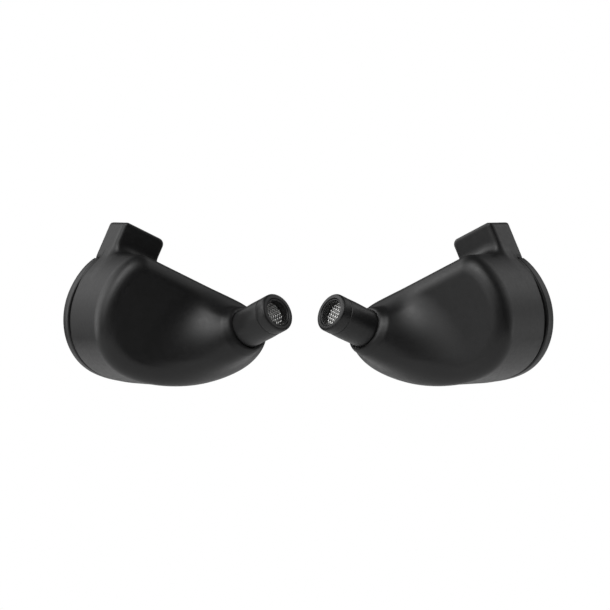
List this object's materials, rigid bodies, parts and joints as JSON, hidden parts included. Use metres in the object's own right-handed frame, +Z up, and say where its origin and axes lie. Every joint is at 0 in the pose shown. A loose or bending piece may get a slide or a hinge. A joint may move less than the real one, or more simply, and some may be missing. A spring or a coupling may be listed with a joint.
{
  "type": "in-ear monitors",
  "caption": "Pair of mirrored matte black in-ear monitors with flat faceplates, angled nozzles with wire mesh and detachable-cable socket blocks, without cable or ear tips.",
  "frame": {"origin": "centre of the bounding box of the two earpieces together", "axes": "+Z up with the socket blocks on top, +X towards the wearer's left earpiece, -Y the way the nozzles face"},
  "size_m": [0.0658, 0.0254, 0.0218],
  "materials": {
    "soft_black": "matte moulded black with a soft-touch feel",
    "plate_black": "matte moulded black",
    "rubber_black": "matte",
    "retainer_black": "satin",
    "steel_mesh": "woven wire, satin",
    "damper_felt": "fine felt",
    "driver_black": "satin moulded",
    "magnet_steel": "satin nickel-plated steel",
    "magnet_nickel": "nickel-plated",
    "diaphragm_film": "thin formed polymer film",
    "coil_copper": "enamelled copper wire",
    "cover_nickel": "satin",
    "board_green": "solder-masked board",
    "contact_gold": "gold-plated",
    "socket_resin": "white moulded insulator",
    "wire_red": "enamelled wire",
    "wire_black": "enamelled wire"
  },
  "bodies": {
    "right_earpiece": {"right_housing": "soft_black", "right_faceplate": "plate_black", "right_faceplate_gasket": "rubber_black", "right_nozzle_tube": "soft_black", "right_nozzle_mesh": "steel_mesh", "right_mesh_retainer": "retainer_black", "right_acoustic_damper": "damper_felt", "right_driver_frame": "driver_black", "right_driver_yoke": "magnet_steel", "right_driver_magnet": "magnet_nickel", "right_driver_top_plate": "magnet_steel", "right_diaphragm_surround": "diaphragm_film", "right_driver_cover": "cover_nickel", "right_rear_damping_disc": "damper_felt", "right_terminal_board": "board_green", "right_driver_gasket": "rubber_black", "right_socket_body": "contact_gold", "right_socket_insulator": "socket_resin", "right_socket_contact": "contact_gold", "right_signal_wire": "wire_red", "right_ground_wire": "wire_black"},
    "right_diaphragm": {"right_diaphragm_dome": "diaphragm_film", "right_voice_coil": "coil_copper"},
    "left_earpiece": {"left_housing": "soft_black", "left_faceplate": "plate_black", "left_faceplate_gasket": "rubber_black", "left_nozzle_tube": "soft_black", "left_nozzle_mesh": "steel_mesh", "left_mesh_retainer": "retainer_black", "left_acoustic_damper": "damper_felt", "left_driver_frame": "driver_black", "left_driver_yoke": "magnet_steel", "left_driver_magnet": "magnet_nickel", "left_driver_top_plate": "magnet_steel", "left_diaphragm_surround": "diaphragm_film", "left_driver_cover": "cover_nickel", "left_rear_damping_disc": "damper_felt", "left_terminal_board": "board_green", "left_driver_gasket": "rubber_black", "left_socket_body": "contact_gold", "left_socket_insulator": "socket_resin", "left_socket_contact": "contact_gold", "left_signal_wire": "wire_red", "left_ground_wire": "wire_black"},
    "left_diaphragm": {"left_diaphragm_dome": "diaphragm_film", "left_voice_coil": "coil_copper"}
  },
  "joints": [
    {"name": "right_diaphragm_travel", "type": "slide", "parent": "right_earpiece", "child": "right_diaphragm", "axis": [0.4114, -0.9111, -0.0244], "range_m": [-0.0001, 0.0001], "stiffness_N_per_m": 3},
    {"name": "left_diaphragm_travel", "type": "slide", "parent": "left_earpiece", "child": "left_diaphragm", "axis": [-0.5119, -0.8587, -0.0244], "range_m": [-0.0001, 0.0001], "stiffness_N_per_m": 3},
    {"name": "pair_spacing", "type": "slide", "parent": "right_earpiece", "child": "left_earpiece", "axis": [1, 0, 0], "range_m": [0, 0.08]}
  ]
}
